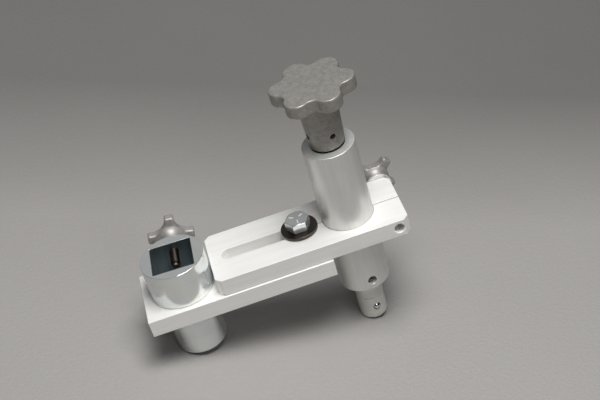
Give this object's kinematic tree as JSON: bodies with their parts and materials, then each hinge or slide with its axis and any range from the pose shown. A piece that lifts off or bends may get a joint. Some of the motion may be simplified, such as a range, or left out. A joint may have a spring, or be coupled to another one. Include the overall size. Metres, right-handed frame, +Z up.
{
  "type": "adjustable offset clamp arm",
  "caption": "Offset arm with a square socket and thumb screw, a slotted swinging bar under a hex bolt, and a split clamp holding a tube with a knob-turned spindle.",
  "frame": {"origin": "on the axis of the socket and its spigot, at the underside of the lower bar", "axes": "+X along the bars from the socket to the column, +Y towards the thumb screws, +Z up along the socket, the bolt and the column"},
  "size_m": [0.1917, 0.0702, 0.1999],
  "materials": {
    "bar_aluminium": "brushed",
    "tube_aluminium": "satin",
    "zinc_plate": "bright zinc plate",
    "cast_grey": "as cast with rubbed edges",
    "cast_stainless": "satin cast",
    "ground_steel": "ground",
    "black_oxide": "black oxide",
    "bright_steel": "bright",
    "bronze": "sintered bronze",
    "black_nylon": "matte"
  },
  "bodies": {
    "base": {"lower_bar": "bar_aluminium", "socket": "zinc_plate", "socket_set_screw": "black_oxide"},
    "socket_screw_feed": {"socket_screw_tip": "bronze"},
    "socket_thumb_screw": {"socket_screw": "black_oxide", "socket_knob": "cast_stainless"},
    "bolt": {"pivot_bolt": "zinc_plate"},
    "pivot": {"pivot_washer": "black_oxide"},
    "arm": {"upper_bar": "bar_aluminium"},
    "clamp_screw_feed": {"clamp_washer": "bright_steel"},
    "clamp_thumb_screw": {"clamp_screw": "bright_steel", "clamp_knob": "cast_stainless"},
    "column_carrier": {"thrust_washer": "black_nylon"},
    "column": {"column_tube": "tube_aluminium", "upper_bush": "bronze", "lower_bush": "bronze", "bush_screw": "bright_steel"},
    "spindle_assembly": {"spindle": "ground_steel", "spindle_knob": "cast_grey", "hub_screw_1": "black_oxide", "hub_screw_2": "black_oxide", "retaining_ring": "black_oxide", "detent_spring": "bright_steel"},
    "ball": {"detent_ball": "bright_steel"}
  },
  "joints": [
    {"name": "socket_screw_feed", "type": "slide", "parent": "base", "child": "socket_screw_feed", "axis": [0.0436, 0.999, 0], "range_m": [0, 0.01588]},
    {"name": "socket_screw_turn", "type": "hinge", "parent": "socket_screw_feed", "child": "socket_thumb_screw", "pos_m": [0.001, -0.00004, 0.0324], "axis": [0.0436, 0.999, 0], "range_deg": [0, 4500]},
    {"name": "bolt_turn", "type": "hinge", "parent": "base", "child": "bolt", "pos_m": [0.0872, 0.0013, 0.026], "axis": [0, 0, 1], "range_deg": [0, 90]},
    {"name": "arm_swing", "type": "hinge", "parent": "base", "child": "pivot", "pos_m": [0.0872, 0.0013, 0.026], "axis": [0, 0, 1], "range_deg": [-4, 4]},
    {"name": "arm_slide", "type": "slide", "parent": "pivot", "child": "arm", "axis": [1, 0, 0], "range_m": [0, 0.05]},
    {"name": "clamp_screw_feed", "type": "slide", "parent": "arm", "child": "clamp_screw_feed", "axis": [0, 1, 0], "range_m": [0, 0.00508]},
    {"name": "clamp_screw_turn", "type": "hinge", "parent": "clamp_screw_feed", "child": "clamp_thumb_screw", "pos_m": [0.1501, 0.0013, 0.01965], "axis": [0, 1, 0], "range_deg": [0, 1440]},
    {"name": "column_height", "type": "slide", "parent": "arm", "child": "column_carrier", "axis": [0, 0, 1], "range_m": [-0.055, 0.04]},
    {"name": "column_turn", "type": "hinge", "parent": "column_carrier", "child": "column", "pos_m": [0.1214, 0.0013, 0.086], "axis": [0, 0, 1], "continuous": true},
    {"name": "spindle_turn", "type": "hinge", "parent": "column_carrier", "child": "spindle_assembly", "pos_m": [0.1214, 0.0013, 0.086], "axis": [0, 0, 1], "continuous": true},
    {"name": "ball_press", "type": "slide", "parent": "spindle_assembly", "child": "ball", "axis": [-0.1908, 0.9816, 0], "range_m": [0, 0.0011], "stiffness_N_per_m": 800, "deforming": ["detent_spring"]}
  ],
  "couplings": [
    {"joint": "socket_screw_feed", "follows": "socket_screw_turn", "m_per_rad": 0.00020213},
    {"joint": "clamp_screw_feed", "follows": "clamp_screw_turn", "m_per_rad": 0.00020213}
  ]
}
